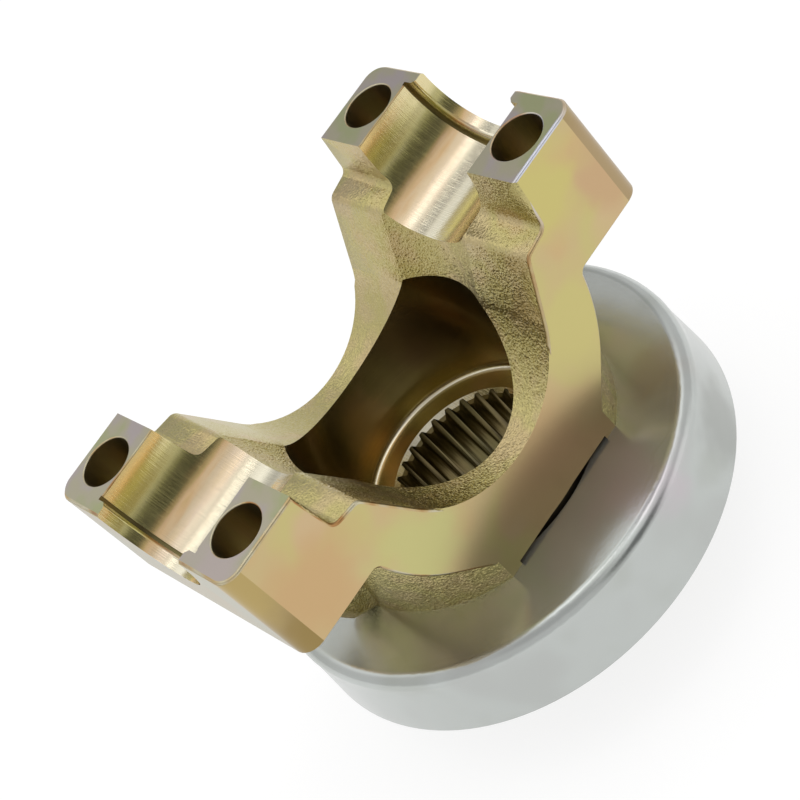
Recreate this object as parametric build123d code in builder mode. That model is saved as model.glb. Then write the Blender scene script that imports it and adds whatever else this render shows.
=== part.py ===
"""Forged steel end yoke for a universal joint, with the dust shield pressed on its hub.

Millimetres. The hub axis is Z and the hub's end face is Z = 0, so the yoke stands on its hub
with the ears up. The bearing caps lie along X, and the machined flanks face +Y and -Y.
"""
from build123d import *

from math import acos, cos, pi, radians, sin, tan
import os

# Universal joint that the ears hold
cap_diameter = 30.18
cap_span = 92.0
cap_stop_bore = 26.0
cap_stop_wall = 2.7
cap_stop_corner_break = 0.8
cap_relief_width = 0.8
cap_relief_depth = 0.45

# U-bolts that clamp the caps
bolt_spacing = 41.28
bolt_row_inset = 6.3
bolt_hole_diameter = 9.9

# Forging outline
pad_height = 82.0
body_width = 54.4
ear_depth = 22.9
ear_corner_radius = 3.6
pad_length = 14.8
arm_root_inset = 0.8
arm_root_radius = 1.5
arm_waist_reach = 22.5
arm_waist_rise = 11.4
arm_belly = 1.1
arm_foot_reach = 15.4
arm_foot_rise = 3.2

# Channel between the arms, forged with draft that opens it towards -Y
channel_inset = 10.6
channel_centre_depth = 13.6
channel_side_angle = 63.8
notch_inset = 1.1
notch_depth = 9.5
ledge_depth = 10.3
notch_root_radius = 1.6
notch_nose_radius = 2.0
channel_draft = 0.8
ledge_draft = 2.2

# Rib behind each ear
rib_top_width = 22.0
rib_foot_width = 8.0
rib_draft = 6.0
rib_top_inset = 1.9
rib_waist_reach = 36.4
rib_waist_rise = 3.2
rib_foot_reach = 32.5
rib_overlap = 6.0
rib_edge_break = 1.6

# Hub
hub_diameter = 63.2
shoulder_height = 32.4
shoulder_relief_depth = 0.8
shoulder_land_width = 1.3
journal_diameter = 50.8
journal_chamfer = 1.5

# Nut bowl
bowl_diameter = 43.3
bowl_depth = 50.5
bowl_corner_break = 1.2
bowl_flare_depth = 22.0
bowl_flare_angle = 25.3

# Involute spline, one tooth space per tooth
spline_teeth = 30
spline_pitch_diameter = 31.75
spline_pressure_angle = 37.5
spline_minor_diameter = 30.6
spline_major_diameter = 32.9
spline_overlap = 0.2
spline_counterbore = 34.0
spline_counterbore_depth = 6.0

# Dust shield
shield_wall = 1.5
shield_seat_diameter = 54.0
shield_seat_length = 6.5
shield_fit_clearance = 0.02
shield_collar_length = 6.0
shield_collar_bend = 0.9
shield_neck_diameter = 92.0
shield_neck_length = 5.0
shield_rim_diameter = 93.9
shield_depth = 15.6
shield_bend_radius = 2.7
shield_inner_bend = 0.7

# Edges
edge_break = 0.5
machined_edge_break = 0.25

# Places worked out from the sizes above
cap_reach = cap_span / 2
ear_reach = cap_reach + cap_stop_wall
bolt_row_span = cap_span - 2 * bolt_row_inset
pad_inner_reach = cap_reach - pad_length
arm_root_reach = pad_inner_reach - arm_root_inset
notch_reach = pad_inner_reach - notch_inset
channel_radius = pad_inner_reach - channel_inset
rib_top_reach = ear_reach - rib_top_inset
ear_back = pad_height - ear_depth
channel_centre = pad_height - channel_centre_depth
bowl_floor = pad_height - bowl_depth
hub_radius = hub_diameter / 2
seat_radius = shield_seat_diameter / 2
minor_radius = spline_minor_diameter / 2
major_radius = spline_major_diameter / 2
pitch_radius = spline_pitch_diameter / 2
base_radius = pitch_radius * cos(radians(spline_pressure_angle))


def arm_outline():
    """Right half of the machined flank outline in X and Z."""
    root = Vector(arm_root_reach, ear_back)
    waist = Vector(arm_waist_reach, shoulder_height + arm_waist_rise)
    outward = (waist - root).rotate(Axis.Z, 90).normalized()
    belly = (root + waist) / 2 + outward * arm_belly
    foot = (arm_foot_reach, shoulder_height + arm_foot_rise)
    ThreePointArc(root, belly, waist)
    Polyline(waist, foot, (arm_foot_reach, shoulder_height), (0, shoulder_height), (0, pad_height))
    Polyline((0, pad_height), (ear_reach, pad_height), (ear_reach, ear_back), root)


def channel_outline(y):
    """Right half of the space between the arms in X and Z at this Y, open past the pads."""
    side = radians(channel_side_angle)
    rise = y * tan(radians(ledge_draft))
    radius = channel_radius - y * tan(radians(channel_draft))
    tangent = (radius * sin(side), channel_centre - radius * cos(side))
    ledge_z = pad_height - ledge_depth + rise
    ledge = (tangent[0] + (ledge_z - tangent[1]) / tan(side), ledge_z)
    root = (notch_reach, pad_height - notch_depth + rise)
    clear = pad_height + edge_break
    top = (pad_inner_reach, clear)
    CenterArc((0, channel_centre), radius, 270, channel_side_angle)
    FilletPolyline(tangent, ledge, root, top, radius=(notch_nose_radius, notch_root_radius))
    Polyline(top, (0, clear), (0, channel_centre - radius))


def space_half_angle(radius):
    """Half the angle that a tooth space takes up at this radius."""
    pressure = radians(spline_pressure_angle)
    local_pressure = acos(base_radius / radius)
    roll = (tan(local_pressure) - local_pressure) - (tan(pressure) - pressure)
    return pi / spline_teeth / 2 - roll


def flank_point(radius, side):
    """Point on a tooth flank at this radius, on the left or right side of the tooth space."""
    angle = side * space_half_angle(radius)
    return (radius * cos(angle), radius * sin(angle))


# Drafted space to cut out from between the arms
with BuildPart() as channel:
    for channel_end in (-body_width, body_width):
        with BuildSketch(Plane.XZ.offset(-channel_end)):
            with BuildLine():
                channel_outline(channel_end)
            make_face()
            mirror(about=Plane.YZ)
    loft(ruled=True)

# Ribs that run down from the ears into the hub
with BuildPart() as ribs:
    with BuildSketch(Plane.XZ):
        rib_waist = (rib_waist_reach, shoulder_height + rib_waist_rise)
        rib_inside = hub_radius - rib_overlap
        Polygon(
            (rib_inside, shoulder_height),
            (rib_foot_reach, shoulder_height),
            rib_waist,
            (rib_top_reach, ear_back),
            (rib_inside, ear_back),
            align=None,
        )
        mirror(about=Plane.YZ)
    extrude(amount=rib_top_width, both=True, taper=rib_draft)
    with BuildSketch(Plane.YZ):
        Polygon(
            (-rib_foot_width / 2, shoulder_height),
            (rib_foot_width / 2, shoulder_height),
            (rib_top_width / 2, ear_back),
            (-rib_top_width / 2, ear_back),
            align=None,
        )
    extrude(amount=ear_reach, both=True, mode=Mode.INTERSECT)
    rib_sides = ribs.faces().filter_by(lambda f: abs(f.normal_at().Y) > 0.9)
    rib_edges = rib_sides.edges().filter_by(lambda e: abs(e.center().X) > rib_foot_reach)
    chamfer(rib_edges.filter_by(lambda e: e.center().Z < ear_back - edge_break), rib_edge_break)

with BuildPart() as yoke:
    # Arms and ears, with the outer corners of the ears and the backs of their roots rounded
    with BuildSketch(Plane.XZ):
        with BuildLine():
            arm_outline()
        make_face()
        mirror(about=Plane.YZ)
    extrude(amount=body_width / 2, both=True)
    ear_corners = yoke.edges().filter_by(Axis.Z).group_by(lambda e: abs(e.center().X))[-1]
    fillet(ear_corners, ear_corner_radius)
    ear_backs = yoke.faces().filter_by(Axis.Z).filter_by(lambda f: f.normal_at().Z < 0)
    arm_roots = ear_backs.group_by(Axis.Z)[-1].edges().group_by(lambda e: abs(e.center().X))[0]
    fillet(arm_roots, arm_root_radius)

    # Broken edges round the outside of both flanks, where their edges aren't rounded already
    flanks = yoke.faces().filter_by(Axis.Y).group_by(lambda f: abs(f.center().Y))[-1]
    rims = flanks.edges().filter_by(lambda e: e.center().Z > shoulder_height + edge_break)
    blends = rims.filter_by(Axis.Z).group_by(lambda e: abs(e.center().X))[-1]
    chamfer(ShapeList(e for e in rims if e not in blends), edge_break)

    # Channel for the cross, with its edges on both flanks broken as well
    add(channel.part, mode=Mode.SUBTRACT)
    cuts = yoke.edges(Select.LAST).filter_by(lambda e: e.center().Z < pad_height - ledge_depth / 4)
    rims = cuts.filter_by(lambda e: abs(e.center().Y) > body_width / 2 - edge_break / 4)
    chamfer(rims, edge_break)

    # Round hub, cut back by the flanks
    with BuildSketch(Plane.XY.offset(shoulder_height)):
        Circle(hub_radius)
        Rectangle(hub_diameter, body_width, mode=Mode.INTERSECT)
    extrude(amount=ear_back - shoulder_height)

    # Rib behind each arm, drafted both ways from the parting plane
    add(ribs.part)
    add(channel.part, mode=Mode.SUBTRACT)

    # Half-round seats for the bearing caps, with a relief groove and a stop lip at each end
    with BuildSketch(Plane.YZ):
        with Locations((0, pad_height)):
            Circle(cap_diameter / 2)
    extrude(amount=cap_reach, both=True, mode=Mode.SUBTRACT)
    for end in (-1, 1):
        with BuildSketch(Plane.YZ.offset(end * cap_reach)):
            with Locations((0, pad_height)):
                Circle(cap_diameter / 2 + cap_relief_depth)
        extrude(amount=-end * cap_relief_width, mode=Mode.SUBTRACT)
    with BuildSketch(Plane.YZ):
        with Locations((0, pad_height)):
            Circle(cap_stop_bore / 2)
    extrude(amount=cap_span, both=True, mode=Mode.SUBTRACT)
    arcs = yoke.edges().filter_by(GeomType.CIRCLE)
    stop_rims = arcs.filter_by(lambda e: abs(e.radius - cap_stop_bore / 2) < edge_break / 2)
    chamfer(stop_rims.group_by(lambda e: abs(e.arc_center.X))[0], cap_stop_corner_break)
    pads = yoke.faces().filter_by(Axis.Z).group_by(Axis.Z)[-1]
    seat_edges = pads.edges().filter_by(Axis.X).group_by(lambda e: abs(e.center().Y))[1]
    chamfer(seat_edges, machined_edge_break)

    # Four holes for the two U-bolts
    with BuildSketch(Plane.XY.offset(pad_height)):
        with GridLocations(bolt_row_span, bolt_spacing, 2, 2):
            Circle(bolt_hole_diameter / 2)
    extrude(amount=-ear_depth, mode=Mode.SUBTRACT)
    circles = yoke.edges().filter_by(GeomType.CIRCLE).filter_by(lambda e: e.is_closed)
    chamfer(circles.group_by(Axis.Z)[-1], machined_edge_break)

    # Seal journal and shield seat, turned on the end of the hub
    with BuildSketch(Plane.XY.offset(shoulder_height)):
        Circle(hub_radius - shoulder_land_width)
    extrude(amount=shoulder_relief_depth, mode=Mode.SUBTRACT)
    with BuildSketch(Plane.XZ):
        with BuildLine():
            journal_radius = journal_diameter / 2
            seat_end = shoulder_height - shield_seat_length
            Polyline(
                (0, shoulder_height + shoulder_relief_depth),
                (0, 0),
                (journal_radius - journal_chamfer, 0),
                (journal_radius, journal_chamfer),
                (journal_radius, seat_end),
                (seat_radius - edge_break, seat_end),
                (seat_radius, seat_end + edge_break),
                (seat_radius, shoulder_height + shoulder_relief_depth),
                (0, shoulder_height + shoulder_relief_depth),
            )
        make_face()
    revolve(axis=Axis.Z)

    # Turned bowl for the pinion nut, flared at the top where it was forged for the cross
    with BuildSketch(Plane.XZ):
        with BuildLine():
            bowl_radius = bowl_diameter / 2
            flare_low = pad_height - bowl_flare_depth
            flare_top = pad_height - ledge_depth + notch_root_radius
            flare_radius = bowl_radius + (flare_top - flare_low) * tan(radians(bowl_flare_angle))
            Polyline(
                (0, bowl_floor),
                (bowl_radius - bowl_corner_break, bowl_floor),
                (bowl_radius, bowl_floor + bowl_corner_break),
                (bowl_radius, flare_low),
                (flare_radius, flare_top),
                (0, flare_top),
                (0, bowl_floor),
            )
        make_face()
    revolve(axis=Axis.Z, mode=Mode.SUBTRACT)

    # Involute tooth spaces, broached through the hub
    with BuildSketch(Plane.XY):
        inner_radius = minor_radius - spline_overlap
        Circle(minor_radius)
        with BuildSketch(mode=Mode.PRIVATE) as space:
            with BuildLine():
                tooth_sides = [
                    [flank_point(radius, side) for radius in (inner_radius, pitch_radius, major_radius)]
                    for side in (-1, 1)
                ]
                ThreePointArc(*tooth_sides[0])
                ThreePointArc(*tooth_sides[1])
                ThreePointArc(tooth_sides[0][2], (major_radius, 0), tooth_sides[1][2])
                Line(tooth_sides[0][0], tooth_sides[1][0])
            make_face()
        with PolarLocations(0, spline_teeth):
            add(space.sketch)
    extrude(amount=bowl_floor, mode=Mode.SUBTRACT)

    # Lead-in from the bowl, and a counterbore at the end of the hub
    with BuildSketch(Plane.XZ):
        lead_rise = major_radius + spline_overlap - inner_radius
        Polygon(
            (0, bowl_floor - lead_rise),
            (inner_radius, bowl_floor - lead_rise),
            (inner_radius + lead_rise, bowl_floor),
            (0, bowl_floor),
            align=None,
        )
        Polygon(
            (0, 0),
            (spline_counterbore / 2, 0),
            (spline_counterbore / 2, spline_counterbore_depth),
            (inner_radius, spline_counterbore_depth + lead_rise),
            (0, spline_counterbore_depth + lead_rise),
            align=None,
        )
    revolve(axis=Axis.Z, mode=Mode.SUBTRACT)

with BuildPart() as dust_shield:
    with BuildSketch(Plane.XZ):
        with BuildLine():
            collar_radius = seat_radius + shield_fit_clearance
            collar_end = shoulder_height - shield_collar_length
            neck_radius = shield_neck_diameter / 2
            neck_end = shoulder_height - shield_neck_length
            rim_radius = shield_rim_diameter / 2
            rim_end = shoulder_height - shield_depth
            inner_face = shoulder_height - shield_wall
            FilletPolyline(
                (collar_radius, collar_end),
                (collar_radius, shoulder_height - shield_collar_bend),
                (collar_radius + shield_collar_bend, shoulder_height),
                (neck_radius, shoulder_height),
                (neck_radius, neck_end),
                (rim_radius, rim_end),
                radius=(0, 0, shield_bend_radius, 0),
            )
            Polyline(
                (rim_radius, rim_end),
                (rim_radius - shield_wall, rim_end),
                (neck_radius - shield_wall, neck_end),
                (neck_radius - shield_wall, inner_face - shield_inner_bend),
                (neck_radius - shield_wall - shield_inner_bend, inner_face),
                (collar_radius + shield_wall, inner_face),
                (collar_radius + shield_wall, collar_end),
                (collar_radius, collar_end),
            )
        make_face()
    revolve(axis=Axis.Z)

yoke.part.label = "yoke"
dust_shield.part.label = "dust_shield"

os.makedirs("parts", exist_ok=True)
export_step(yoke.part, "parts/yoke.step")
export_step(dust_shield.part, "parts/dust_shield.step")
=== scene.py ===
"""Forged end yoke of a driveline joint, with the dust shield pressed on its hub, on a white floor.

The origin is on the hub axis at the hub's end face. Z runs up the hub towards the ears, and X runs
along the bearing cap seats from ear to ear. Blender units are metres.
"""
from math import cos, radians, sin, tan

import bmesh
import bpy
import numpy as np
from mathutils import Matrix, Vector


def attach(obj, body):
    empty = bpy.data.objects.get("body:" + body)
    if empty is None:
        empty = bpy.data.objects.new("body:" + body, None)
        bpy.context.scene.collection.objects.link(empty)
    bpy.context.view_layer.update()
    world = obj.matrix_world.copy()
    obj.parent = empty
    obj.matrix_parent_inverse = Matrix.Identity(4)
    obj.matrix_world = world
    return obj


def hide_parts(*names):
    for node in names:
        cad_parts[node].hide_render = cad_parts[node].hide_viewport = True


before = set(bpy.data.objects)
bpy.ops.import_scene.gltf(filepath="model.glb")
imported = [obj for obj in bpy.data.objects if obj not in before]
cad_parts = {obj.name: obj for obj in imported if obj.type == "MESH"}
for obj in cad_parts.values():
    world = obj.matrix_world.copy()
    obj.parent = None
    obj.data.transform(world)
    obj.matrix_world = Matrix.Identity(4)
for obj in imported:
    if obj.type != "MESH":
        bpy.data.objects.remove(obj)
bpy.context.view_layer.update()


# Camera
# The camera looks down between the ears from in front of one flank, rolled so that +X points up the
# picture. The pose comes from the ellipses of the bolt holes and cap seats in the photograph.
camera_place = (-0.071871, -0.270599, 0.272797)
camera_right = (0.56446925, -0.60447394, -0.56212607)
camera_up = (0.80080648, 0.23584435, 0.55053285)
camera_back = (-0.20020851, -0.76091307, 0.61719353)
camera_data = bpy.data.cameras.new("camera")
camera_data.lens = 90.46
camera_data.sensor_width = 36.0
camera_data.clip_start = 0.01
camera = bpy.data.objects.new("camera", camera_data)
bpy.context.scene.collection.objects.link(camera)
camera_turn = Matrix((camera_right, camera_up, camera_back)).transposed().to_4x4()
camera.matrix_world = Matrix.Translation(camera_place) @ camera_turn
bpy.context.scene.camera = camera
bpy.context.scene.view_settings.view_transform = "Standard"


# Studio light
# A pale room with soft boxes and dark screens round the table. The plating mirrors them, so they set how
# bright each face looks. None of them has a colour, so every colour seen is the plating's own.
def add_node(tree, kind, inputs=None, **settings):
    """Adds one node, sets its properties, and links or sets its inputs by name or number."""
    node = tree.nodes.new(kind)
    for name, value in settings.items():
        setattr(node, name, value)
    for name, value in (inputs or {}).items():
        if isinstance(value, bpy.types.NodeSocket):
            tree.links.new(value, node.inputs[name])
        else:
            node.inputs[name].default_value = value
    return node


def linear(hex_colour):
    """Linear RGBA of an sRGB hex colour: each channel goes through the sRGB curve backwards."""
    srgb = np.array([int(hex_colour[i:i + 2], 16) for i in (1, 3, 5)]) / 255.0
    curve = np.where(srgb <= 0.04045, srgb / 12.92, ((srgb + 0.055) / 1.055) ** 2.4)
    return (*curve.tolist(), 1.0)


# Compass angle from +X and height in degrees, the spread from the full middle to the faded edge in degrees,
# and the brightness added to the room's own level. A dark screen takes brightness away.
room_level = 0.74
soft_boxes = (
    (100, 60, 8, 34, 0.45),
    (-20, 67, 10, 26, 0.26),
    (-12, 71, 2, 9, 1.10),
    (-42, 10, 6, 26, 0.45),
    (20, 52, 4, 18, 0.60),
    (-62, 80, 4, 16, 0.20),
    (74, 77, 3, 10, 0.95),
    (42, 66, 4, 13, -0.62),
    (-76, 33, 8, 24, -0.64),
    (-86, 56, 4, 13, 0.22),
    (64, 33, 8, 24, -0.26),
    (72, 48, 3, 9, 0.30),
    (-130, 60, 8, 32, -0.22),
)
world = bpy.data.worlds.new("soft studio")
world.use_nodes = True
bpy.context.scene.world = world
sky = world.node_tree
sky.nodes.clear()
direction = add_node(sky, "ShaderNodeTexCoord").outputs["Generated"]
level = room_level
for compass, height, full, faded, brightness in soft_boxes:
    turn, rise = radians(compass), radians(height)
    aim = Vector((cos(rise) * cos(turn), cos(rise) * sin(turn), sin(rise)))
    aligned = add_node(sky, "ShaderNodeVectorMath", {0: direction, 1: aim},
                       operation="DOT_PRODUCT").outputs["Value"]
    glow = add_node(sky, "ShaderNodeMapRange", {
        "Value": aligned, "From Min": cos(radians(faded)), "From Max": cos(radians(full)),
        "To Max": brightness}, interpolation_type="SMOOTHSTEP").outputs["Result"]
    level = add_node(sky, "ShaderNodeMath", {0: glow, 1: level}, operation="ADD").outputs[0]
studio = add_node(sky, "ShaderNodeBackground", {"Color": linear("#ffffff"), "Strength": level})
add_node(sky, "ShaderNodeOutputWorld", {"Surface": studio.outputs[0]})


# Floor
# Matt white paper under the hub, rolled out far past the picture. Eye and metal see it as white with the
# object's soft shadow on it, and it throws little light back up.
floor_reach = 20.0
paper_lift = 0.82
floor_mesh = bpy.data.meshes.new("floor")
floor_corners = [(-floor_reach, -floor_reach, 0.0), (floor_reach, -floor_reach, 0.0),
                 (floor_reach, floor_reach, 0.0), (-floor_reach, floor_reach, 0.0)]
floor_mesh.from_pydata(floor_corners, [], [(0, 1, 2, 3)])
floor = bpy.data.objects.new("floor", floor_mesh)
bpy.context.scene.collection.objects.link(floor)
paper = bpy.data.materials.new("matt white paper")
paper.use_nodes = True
tree = paper.node_tree
tree.nodes.clear()
ray = add_node(tree, "ShaderNodeLightPath").outputs
seen = add_node(tree, "ShaderNodeMath", {0: ray["Is Camera Ray"], 1: ray["Is Glossy Ray"]},
                operation="MAXIMUM").outputs[0]
seen = add_node(tree, "ShaderNodeMath", {0: seen, 1: ray["Is Transmission Ray"]},
                operation="MAXIMUM").outputs[0]
lift = add_node(tree, "ShaderNodeMath", {0: seen, 1: paper_lift}, operation="MULTIPLY").outputs[0]
matt = add_node(tree, "ShaderNodeBsdfDiffuse", {"Color": linear("#8c8c8c")})
glow = add_node(tree, "ShaderNodeEmission", {"Color": linear("#ffffff"), "Strength": lift})
both = add_node(tree, "ShaderNodeAddShader", {0: matt.outputs[0], 1: glow.outputs[0]})
add_node(tree, "ShaderNodeOutputMaterial", {"Surface": both.outputs[0]})
floor_mesh.materials.append(paper)


# Forged yoke
# One steel forging, plated with yellow dichromate zinc. The flanks, pads and ear ends are milled, the cap
# seats, bowl and hub are turned, the spline is broached, and the rest keeps the grain of the die and the shot.
MM = 0.001
weld_gap = 0.002 * MM
crease_angle = radians(24)


def smooth_copy(node, name):
    """Copy of a CAD node with its loose triangles joined and its curved faces shaded smooth."""
    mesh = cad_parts[node].data.copy()
    mesh.name = name
    work = bmesh.new()
    work.from_mesh(mesh)
    bmesh.ops.remove_doubles(work, verts=work.verts, dist=weld_gap)
    work.to_mesh(mesh)
    work.free()
    mesh.shade_smooth()
    mesh.set_sharp_from_angle(angle=crease_angle)
    piece = bpy.data.objects.new(name, mesh)
    bpy.context.scene.collection.objects.link(piece)
    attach(piece, "root")
    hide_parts(node)
    return piece


yoke = smooth_copy("yoke", "yoke_plated")
mesh = yoke.data
points = np.empty(len(mesh.vertices) * 3)
mesh.vertices.foreach_get("co", points)
points = points.reshape(-1, 3) / MM

# Sizes in millimetres. How far the ears, flanks and pads reach comes from the frame.
ear_reach, flank_reach, pad_height = np.round(points.max(axis=0), 3).tolist()
ear_depth = 22.9
ear_corner = 3.6
cap_radius = 15.09
cap_groove_depth = 0.45
cap_lip_wall = 2.7
cap_lip_radius = 13.0
cap_lip_corner = 0.8
bolt_row_inset = 9.0
bolt_spacing = 41.28
bolt_hole_radius = 4.95
channel_radius = 20.6
channel_depth = 13.6
channel_draft = tan(radians(0.8))
hub_radius = 31.6
shoulder_height = 32.4
shoulder_relief = 0.8
shield_seat_radius = 27.0
journal_radius = 25.4
bowl_radius = 21.65
bowl_floor = pad_height - 50.5
bowl_corner = 1.2
flare_start = pad_height - 22.0
flare = radians(25.3)
spline_mouth_radius = 16.65
spline_mouth_depth = 1.4
bore_reach = 17.2
edge_break = 0.5
pad_edge_height = 0.4


def start_metal(name, roughness, anisotropy=0.0):
    """New material with a metal surface shader whose highlights, if drawn out, cross the rings of turning.

    Returns the material, its tree, the shader and Object coordinates in millimetres.
    """
    material = bpy.data.materials.new(name)
    material.use_nodes = True
    tree = material.node_tree
    tree.nodes.clear()
    metal = add_node(tree, "ShaderNodeBsdfPrincipled", {
        "Metallic": 1.0, "Roughness": roughness, "Anisotropic": anisotropy, "Anisotropic Rotation": 0.25})
    add_node(tree, "ShaderNodeOutputMaterial", {"Surface": metal.outputs[0]})
    place = add_node(tree, "ShaderNodeTexCoord").outputs["Object"]
    place = add_node(tree, "ShaderNodeVectorMath", {0: place, "Scale": 1.0 / MM}, operation="SCALE").outputs[0]
    return material, tree, metal, place


def drift(tree, place=None, patch_mm=None, stops=(), along=None):
    """Colour through (position, hex) stops, picked by a soft noise of this patch size or by a given value."""
    ease = "LINEAR"
    if along is None:
        ease = "EASE"
        along = add_node(tree, "ShaderNodeTexNoise", {
            "Vector": place, "Scale": 1.0 / patch_mm, "Detail": 2.0, "Roughness": 0.45}).outputs[0]
    ramp = add_node(tree, "ShaderNodeValToRGB", {"Fac": along})
    ramp.color_ramp.interpolation = ease
    while len(ramp.color_ramp.elements) < len(stops):
        ramp.color_ramp.elements.new(0.5)
    for element, (position, colour) in zip(ramp.color_ramp.elements, stops):
        element.position = position
        element.color = linear(colour)
    return ramp.outputs[0]


def spots(tree, place, colour, table):
    """Lays soft spots over a colour, each given by its centre and radius in mm and its hex colour.

    A slow noise first sways the coordinates by half the sway each way, so that no spot is round.
    """
    sway, waves_per_mm, solid_part = 12.0, 0.12, 0.3
    noise = add_node(tree, "ShaderNodeTexNoise", {
        "Vector": place, "Scale": waves_per_mm, "Detail": 2.0}).outputs["Color"]
    place = add_node(tree, "ShaderNodeVectorMath", {0: noise, 1: (sway, sway, sway), 2: place},
                     operation="MULTIPLY_ADD").outputs[0]
    for centre, radius, tone in table:
        centre = [value + sway / 2 for value in centre]
        away = add_node(tree, "ShaderNodeVectorMath", {0: place, 1: centre},
                        operation="DISTANCE").outputs["Value"]
        amount = add_node(tree, "ShaderNodeMapRange", {
            "Value": away, "From Min": radius * solid_part, "From Max": radius,
            "To Min": 1.0, "To Max": 0.0}, interpolation_type="SMOOTHSTEP").outputs["Result"]
        colour = add_node(tree, "ShaderNodeMix", {0: amount, 6: colour, 7: linear(tone)},
                          data_type="RGBA").outputs[2]
    return colour


def roughen(tree, metal, place, per_mm, detail, depth_mm, strength):
    """Bumps the surface with noise: so many waves per millimetre, and this deep."""
    grain = add_node(tree, "ShaderNodeTexNoise", {
        "Vector": place, "Scale": per_mm, "Detail": detail, "Roughness": 0.62}).outputs[0]
    bump = add_node(tree, "ShaderNodeBump", {"Height": grain, "Strength": strength, "Distance": depth_mm * MM})
    tree.links.new(bump.outputs[0], metal.inputs["Normal"])


# Milled flanks: satin, with the yellow-green to pink drift that thin dichromate films have
milled, tree, metal, place = start_metal("yellow dichromate zinc on milled flanks", roughness=0.29)
tint = drift(tree, place, 20.0, ((0.34, "#cbac80"), (0.46, "#c8b384"), (0.56, "#c6b97f"), (0.66, "#ccb28a")))
tint = spots(tree, place, tint, (
    ((34, -27, 76), 13, "#c9bd79"), ((45, -27, 68), 9, "#c6a780"), ((24, -27, 55), 13, "#c8bd7e"),
    ((-24, -27, 53), 13, "#c5bf83"), ((-40, -27, 67), 14, "#c9a97c"), ((2, -27, 38), 19, "#cbad80")))
tree.links.new(tint, metal.inputs["Base Color"])
roughen(tree, metal, place, per_mm=2.2, detail=4.0, depth_mm=0.05, strength=0.08)

# Rounded corners of the ears: the same film, a little thicker and browner
corner, tree, metal, place = start_metal("yellow dichromate zinc on rounded ear corners", roughness=0.30)
tint = drift(tree, place, 10.0, ((0.35, "#a58f68"), (0.65, "#ab9a6e")))
tint = spots(tree, place, tint, (
    ((-47, -27, 80), 14, "#b6a06a"), ((47, -27, 68), 16, "#ac9672"), ((-47, -27, 60), 12, "#9a8454")))
tree.links.new(tint, metal.inputs["Base Color"])
roughen(tree, metal, place, per_mm=2.2, detail=4.0, depth_mm=0.05, strength=0.10)

# Ear ends: the film is thinner and paler where the forging was turned to length
ear_end, tree, metal, place = start_metal("pale dichromate zinc on ear ends", roughness=0.32)
tint = drift(tree, place, 12.0, ((0.35, "#b8ad94"), (0.65, "#b3b09c")))
tree.links.new(tint, metal.inputs["Base Color"])
roughen(tree, metal, place, per_mm=2.2, detail=4.0, depth_mm=0.05, strength=0.10)

# Ground pads: the film is thinnest there, so they look grey with a trace of lavender and green
ground, tree, metal, place = start_metal("thin dichromate zinc on ground pads", roughness=0.30)
tint = drift(tree, place, 8.0, ((0.34, "#b6acaa"), (0.5, "#b6b099"), (0.64, "#adb088")))
tint = spots(tree, place, tint, (((-45, -21, 82), 10, "#b9aea8"),))
tree.links.new(tint, metal.inputs["Base Color"])
roughen(tree, metal, place, per_mm=2.5, detail=4.0, depth_mm=0.05, strength=0.10)

# Broken edges: the film builds up there, and their thin lines turn from gold to orange brown
edge, tree, metal, place = start_metal("thick dichromate zinc on broken edges", roughness=0.36)
tint = drift(tree, place, 6.0, ((0.36, "#b08454"), (0.46, "#c4ab7c"), (0.62, "#c9c1a4")))
# Painted highlights: the two near-white spots, on the flank edge at the bottom of the channel and on the pad
# edge of the +X ear
tint = spots(tree, place, tint, (
    ((6, -27, 49), 18, "#e8e6e0"), ((38, -27, 82), 14, "#d9dae4"), ((25, -27, 58), 13, "#bfb088")))
tree.links.new(tint, metal.inputs["Base Color"])
roughen(tree, metal, place, per_mm=1.6, detail=4.0, depth_mm=0.1, strength=0.3)

# Forged faces: overlapping shot dimples about half a millimetre across, dull gold with bright specks
forged, tree, metal, place = start_metal("yellow dichromate zinc on shot-blasted forging", roughness=0.29)
dimples_per_mm, waves_per_mm, flakes_per_mm = 2.4, 2.2, 2.9
wave_share, grain_depth, flake_tilt = 1.5, 0.085, 0.26
tint = drift(tree, place, 9.0, ((0.32, "#c6b284"), (0.5, "#c0b47a"), (0.68, "#c6b486")))
tree.links.new(tint, metal.inputs["Base Color"])
dimples = add_node(tree, "ShaderNodeTexVoronoi", {"Vector": place, "Scale": dimples_per_mm, "Smoothness": 0.3},
                   feature="SMOOTH_F1").outputs["Distance"]
waves = add_node(tree, "ShaderNodeTexNoise", {
    "Vector": place, "Scale": waves_per_mm, "Detail": 3.0, "Roughness": 0.6}).outputs[0]
grain = add_node(tree, "ShaderNodeMath", {0: waves, 1: wave_share, 2: dimples},
                 operation="MULTIPLY_ADD").outputs[0]
# Each flake tilts the normal its own way: a random vector is added, and its middle taken off again
flakes = add_node(tree, "ShaderNodeTexVoronoi", {"Vector": place, "Scale": flakes_per_mm}).outputs["Color"]
normal = add_node(tree, "ShaderNodeNewGeometry").outputs["Normal"]
normal = add_node(tree, "ShaderNodeVectorMath", {0: flakes, 1: [flake_tilt] * 3, 2: normal},
                  operation="MULTIPLY_ADD").outputs[0]
normal = add_node(tree, "ShaderNodeVectorMath", {0: normal, 1: [flake_tilt / 2] * 3},
                  operation="SUBTRACT").outputs[0]
normal = add_node(tree, "ShaderNodeVectorMath", {0: normal}, operation="NORMALIZE").outputs[0]
bump = add_node(tree, "ShaderNodeBump", {"Height": grain, "Distance": grain_depth * MM, "Normal": normal})
tree.links.new(bump.outputs[0], metal.inputs["Normal"])

# Turned cap seats: bright, with rings round the cap axis. The colour runs with the angle from the bottom of
# the seat, pale and pink, past orange and olive to gold at the pads:
# partly the film's colours, partly painted reflection, pale where the seat mirrors the bright light overhead
# and darker olive where it mirrors dark.
seat, tree, metal, place = start_metal("yellow dichromate zinc on turned cap seat", roughness=0.17,
                                       anisotropy=0.5)
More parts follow.
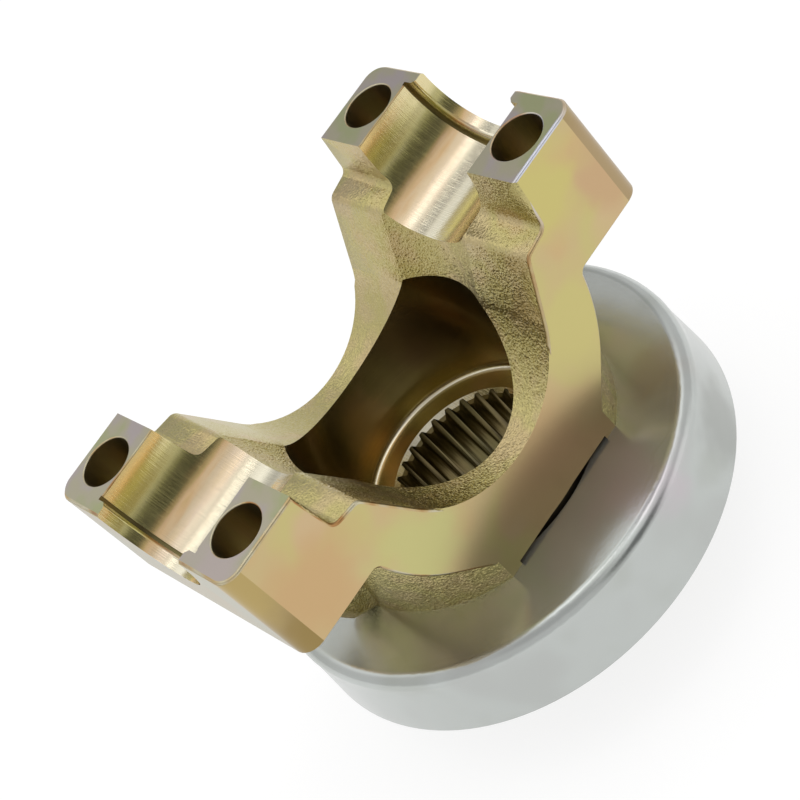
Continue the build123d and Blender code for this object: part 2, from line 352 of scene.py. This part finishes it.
# Angles from straight down, in radians: how far streaks sway the colour bands, and where the bands start and
# end
streak_turn, first_turn, last_turn = 0.30, 0.15, 1.72
parts = add_node(tree, "ShaderNodeSeparateXYZ", {0: place}).outputs
drop = add_node(tree, "ShaderNodeMath", {0: pad_height, 1: parts["Z"]}, operation="SUBTRACT").outputs[0]
turn = add_node(tree, "ShaderNodeMath", {0: parts["Y"], 1: drop}, operation="ARCTAN2").outputs[0]
turn = add_node(tree, "ShaderNodeMath", {0: turn}, operation="ABSOLUTE").outputs[0]
drawn_out = add_node(tree, "ShaderNodeMapping", {"Vector": place, "Scale": (0.1, 0.6, 0.6)}).outputs[0]
streak = add_node(tree, "ShaderNodeTexNoise", {"Vector": drawn_out, "Scale": 1.0, "Detail": 3.0}).outputs[0]
turn = add_node(tree, "ShaderNodeMath", {0: streak, 1: streak_turn, 2: turn},
                operation="MULTIPLY_ADD").outputs[0]
turn = add_node(tree, "ShaderNodeMapRange", {
    "Value": turn, "From Min": first_turn, "From Max": last_turn}).outputs[0]
tint = drift(tree, along=turn, stops=(
    (0.10, "#ded8c2"), (0.24, "#dcd2b8"), (0.34, "#d8c5ab"), (0.41, "#d8c29f"), (0.47, "#d6b68a"),
    (0.52, "#c6ac74"), (0.58, "#b5ab74"), (0.68, "#bcb374"), (0.78, "#c8bf88"), (0.92, "#ddd0a2")))
around_x = add_node(tree, "ShaderNodeTangent", direction_type="RADIAL", axis="X").outputs[0]
tree.links.new(tint, metal.inputs["Base Color"])
tree.links.new(around_x, metal.inputs["Tangent"])
rings = add_node(tree, "ShaderNodeMapping", {"Vector": place, "Scale": (5.0, 0.1, 0.1)}).outputs[0]
roughen(tree, metal, rings, per_mm=1.0, detail=3.0, depth_mm=0.05, strength=0.6)

# Turned bowl, floor and journal: rings round the hub axis
bowl, tree, metal, place = start_metal("yellow dichromate zinc with a painted glow on turned bowl", roughness=0.22,
                                       anisotropy=0.4)
parts = add_node(tree, "ShaderNodeSeparateXYZ", {0: place}).outputs
flat_place = add_node(tree, "ShaderNodeCombineXYZ", {"X": parts["X"], "Y": parts["Y"]}).outputs[0]
radius = add_node(tree, "ShaderNodeVectorMath", {0: flat_place}, operation="LENGTH").outputs["Value"]
rings = add_node(tree, "ShaderNodeCombineXYZ", {"X": radius, "Y": parts["Z"]}).outputs[0]
tint = drift(tree, place, 14.0, ((0.30, "#a8946a"), (0.5, "#a0925e"), (0.7, "#aa9470")))
# Painted glow: the gold spot low on the -X +Y wall. A brown spot darkens the upper wall on the +X +Y side.
tint = spots(tree, place, tint, (((-4.5, 21, 38), 9, "#c9a970"), ((16, 14, 46), 14, "#8b7556")))
around_z = add_node(tree, "ShaderNodeTangent", direction_type="RADIAL", axis="Z").outputs[0]
tree.links.new(tint, metal.inputs["Base Color"])
tree.links.new(around_z, metal.inputs["Tangent"])
roughen(tree, metal, rings, per_mm=3.2, detail=3.0, depth_mm=0.06, strength=0.4)

# Drilled bolt holes: gold like the rest, and dark only because they are deep
drilled, tree, metal, place = start_metal("yellow dichromate zinc in drilled holes", roughness=0.32)
drawn_out = add_node(tree, "ShaderNodeMapping", {"Vector": place, "Scale": (1.0, 1.0, 0.2)}).outputs[0]
tint = drift(tree, drawn_out, 4.0, ((0.35, "#b8a682"), (0.65, "#aea478")))
tree.links.new(tint, metal.inputs["Base Color"])
tool_lines = add_node(tree, "ShaderNodeMapping", {"Vector": place, "Scale": (4.0, 4.0, 0.12)}).outputs[0]
roughen(tree, metal, tool_lines, per_mm=1.0, detail=2.0, depth_mm=0.06, strength=0.4)

# Relief grooves and the spline: painted shade makes them darker, with fine tool lines along the hub
broached_with_painted_shade, tree, metal, place = start_metal("yellow dichromate zinc in grooves and spline", roughness=0.30)
tint = drift(tree, place, 6.0, ((0.35, "#766947"), (0.65, "#6c6442")))
tree.links.new(tint, metal.inputs["Base Color"])
tool_lines = add_node(tree, "ShaderNodeMapping", {"Vector": place, "Scale": (4.0, 4.0, 0.12)}).outputs[0]
roughen(tree, metal, tool_lines, per_mm=1.0, detail=2.0, depth_mm=0.06, strength=0.4)

# Gap above the shield: painted shade. It is nearly black up to a bowed line, highest at the middle of a flank,
# and dull gold above it.
shaded, tree, metal, place = start_metal("painted shade in the gap above the shield", roughness=0.5)
# The line's height and softness in mm, and its bow in mm per square mm
line_height, line_bow, line_blur = 32.82, -0.0022, 0.08
parts = add_node(tree, "ShaderNodeSeparateXYZ", {0: place}).outputs
line = add_node(tree, "ShaderNodeMath", {0: parts["X"], 1: parts["X"]}, operation="MULTIPLY").outputs[0]
line = add_node(tree, "ShaderNodeMath", {0: line, 1: line_bow, 2: line_height},
                operation="MULTIPLY_ADD").outputs[0]
over = add_node(tree, "ShaderNodeMath", {0: parts["Z"], 1: line}, operation="SUBTRACT").outputs[0]
lit = add_node(tree, "ShaderNodeMapRange", {
    "Value": over, "From Min": -line_blur, "From Max": line_blur}).outputs[0]
tint = add_node(tree, "ShaderNodeMix", {0: lit, 6: linear("#2c261c"), 7: linear("#a89064")},
                data_type="RGBA").outputs[2]
black = add_node(tree, "ShaderNodeMath", {0: 1.0, 1: lit}, operation="SUBTRACT").outputs[0]
tree.links.new(tint, metal.inputs["Base Color"])
tree.links.new(black, metal.inputs["Metallic"])

yoke_materials = [forged, milled, corner, ear_end, ground, edge, seat, bowl, drilled, broached_with_painted_shade, shaded]
mesh.materials.clear()
for material in yoke_materials:
    mesh.materials.append(material)

# Each face gets the finish of the surface that all its corners lie on, and the true normal of that surface
corners = np.empty(len(mesh.loops), np.int32)
mesh.loops.foreach_get("vertex_index", corners)
corners = corners.reshape(-1, 3)
shading = np.empty(len(mesh.loops) * 3)
mesh.corner_normals.foreach_get("vector", shading)
shading = shading.reshape(-1, 3, 3)
flat = np.empty(len(corners) * 3)
mesh.polygons.foreach_get("normal", flat)
flat = flat.reshape(-1, 3)
x, y, z = points.T
side_x, side_y = np.sign(x), np.sign(y)
zero = np.zeros(len(x))
up = np.array((0.0, 0.0, 1.0))
cap_height = pad_height - z
channel_height = pad_height - channel_depth - z
hole_x, hole_y = np.abs(x) - (ear_reach - bolt_row_inset), np.abs(y) - bolt_spacing / 2
ear_x, ear_y = np.abs(x) - (ear_reach - ear_corner), np.abs(y) - (flank_reach - ear_corner)
# A radius of nothing would divide by zero
tiny = 1e-6
hub_r = np.maximum(np.hypot(x, y), tiny)
cap_r = np.maximum(np.hypot(y, cap_height), tiny)
channel_r = np.maximum(np.hypot(x, channel_height), tiny)
hole_r = np.maximum(np.hypot(hole_x, hole_y), tiny)
ear_r = np.maximum(np.hypot(ear_x, ear_y), tiny)
from_hub = np.stack((x, y, zero), 1) / hub_r[:, None]
into_cap = np.stack((zero, -y, cap_height), 1) / cap_r[:, None]
into_channel = np.stack((-x, -channel_draft * channel_r, channel_height), 1) / channel_r[:, None]
into_hole = np.stack((-hole_x * side_x, -hole_y * side_y, zero), 1) / hole_r[:, None]
off_ear = np.stack((ear_x * side_x, ear_y * side_y, zero), 1) / ear_r[:, None]
into_flare = up * sin(flare) - from_hub * cos(flare)
into_mouth = up - from_hub

# How near a surface counts as on it, the slack at its ends, and a distance that is off it
touching, hair, far = 0.02, 0.01, 9.0
flare_off = np.where(z > flare_start - hair, hub_r - bowl_radius - (z - flare_start) * tan(flare), far)
mouth_off = np.where(z > bowl_floor - spline_mouth_depth, hub_r - spline_mouth_radius + bowl_floor - z, far)
ear_corner_off = np.where(ear_y > -hair, ear_r - ear_corner, far)

# Surfaces: distance of each vertex from it in millimetres, its normals (none for a flat one), its finish
surfaces = (
    (hub_r - hub_radius, from_hub, forged),
    (channel_r - (channel_radius - y * channel_draft), into_channel, forged),
    (flare_off, into_flare, forged),
    (hub_r - bowl_radius, -from_hub, bowl),
    (z - bowl_floor, None, bowl),
    (hub_r - journal_radius, from_hub, bowl),
    (z, None, bowl),
    (hub_r - shield_seat_radius, from_hub, shaded),
    (z - shoulder_height - shoulder_relief, None, shaded),
    (mouth_off, into_mouth, seat),
    (cap_r - cap_radius, into_cap, seat),
    (cap_r - cap_radius - cap_groove_depth, into_cap, broached_with_painted_shade),
    (cap_r - cap_lip_radius, into_cap, seat),
    (hole_r - bolt_hole_radius, into_hole, drilled),
    (z - (pad_height - ear_depth), None, milled),
    (ear_corner_off, off_ear, corner),
    (np.abs(x) - ear_reach, None, ear_end),
    (np.abs(y) - flank_reach, None, milled),
    (z - pad_height, None, ground),
)
kind = np.zeros(len(corners), np.int32)
for distance, normals, finish in surfaces:
    on_it = np.all(np.abs(distance)[corners] < touching, axis=1)
    shading[on_it] = flat[on_it][:, None, :] if normals is None else normals[corners[on_it]]
    kind[on_it] = yoke_materials.index(finish)
in_bore = np.all((hub_r[corners] < bore_reach) & (z[corners] < bowl_floor - hair), axis=1)
kind[in_bore] = yoke_materials.index(broached_with_painted_shade)


# Narrow 45 degree chamfers are shaded as rounded edges: each corner takes the normal of the face next to it
def round_over(picked, on_first, first, finish):
    """Gives the picked chamfer faces one face's normal on one side and the other face's on the other side."""
    first = np.broadcast_to(first, shading.shape)[picked]
    other = flat[picked][:, None, :] * 2 ** 0.5 - first
    shading[picked] = np.where(on_first[corners[picked]][:, :, None], first, other)
    kind[picked] = yoke_materials.index(finish)


middle = points[corners].mean(axis=1)
mid_x, mid_y, mid_z = np.abs(middle[:, 0]), np.abs(middle[:, 1]), middle[:, 2]
slant_slack = 0.03
slanted_x, slanted_y, slanted_z = (np.abs(np.abs(flat) - 2 ** -0.5) < slant_slack).T
cap_reach = ear_reach - cap_lip_wall
at_flank = (slanted_y & (mid_y > flank_reach - edge_break - hair) & (mid_y < flank_reach - hair)
            & (mid_z > shoulder_height + shoulder_relief + hair))
outward = np.sign(middle[:, 1])[:, None, None] * np.array((0.0, 1.0, 0.0))
round_over(at_flank, np.abs(y) > flank_reach - hair, outward, edge)
at_pad = slanted_z & (mid_z > pad_height - pad_edge_height) & (mid_z < pad_height - hair)
round_over(at_pad, z > pad_height - hair, up, edge)
at_floor = (slanted_z & (mid_z > bowl_floor) & (mid_z < bowl_floor + bowl_corner + hair)
            & (np.hypot(mid_x, mid_y) > bowl_radius - bowl_corner - hair))
round_over(at_floor, z < bowl_floor + hair, up, seat)
at_lip = slanted_x & (mid_x > cap_reach) & (mid_x < cap_reach + cap_lip_corner + hair)
inward = -np.sign(middle[:, 0])[:, None, None] * np.array((1.0, 0.0, 0.0))
round_over(at_lip, np.abs(x) < cap_reach + hair, inward, seat)
mesh.polygons.foreach_set("material_index", kind)
shading /= np.linalg.norm(shading, axis=2, keepdims=True)
mesh.normals_split_custom_set(shading.reshape(-1, 3).tolist())


# Dust shield
# Cup drawn from 1.5 mm sheet steel, its hole turned down as a collar and pressed on the hub against the
# shoulder. Clear zinc plating leaves it pale silver grey and satin.
shield = smooth_copy("dust_shield", "dust_shield_plated")
drawn, tree, metal, place = start_metal("clear zinc plating on drawn sheet", roughness=0.22)
tint = drift(tree, place, 18.0, ((0.30, "#b9bdb7"), (0.5, "#c4c8c5"), (0.7, "#bfc2bf")))
tint = spots(tree, place, tint, (
    ((8, -38, 33), 12, "#c9c3c6"), ((28, -27, 32), 9, "#b9b6b0"), ((28, -38, 22), 12, "#b0b3af")))
tree.links.new(tint, metal.inputs["Base Color"])
roughen(tree, metal, place, per_mm=1.3, detail=7.0, depth_mm=0.1, strength=0.16)
# The clear coat over the zinc scatters a little light by itself
metal.inputs["Metallic"].default_value = 0.84
even = shield.modifiers.new("flat face stays flat", "WEIGHTED_NORMAL")
even.keep_sharp = True
shield.data.materials.clear()
shield.data.materials.append(drawn)
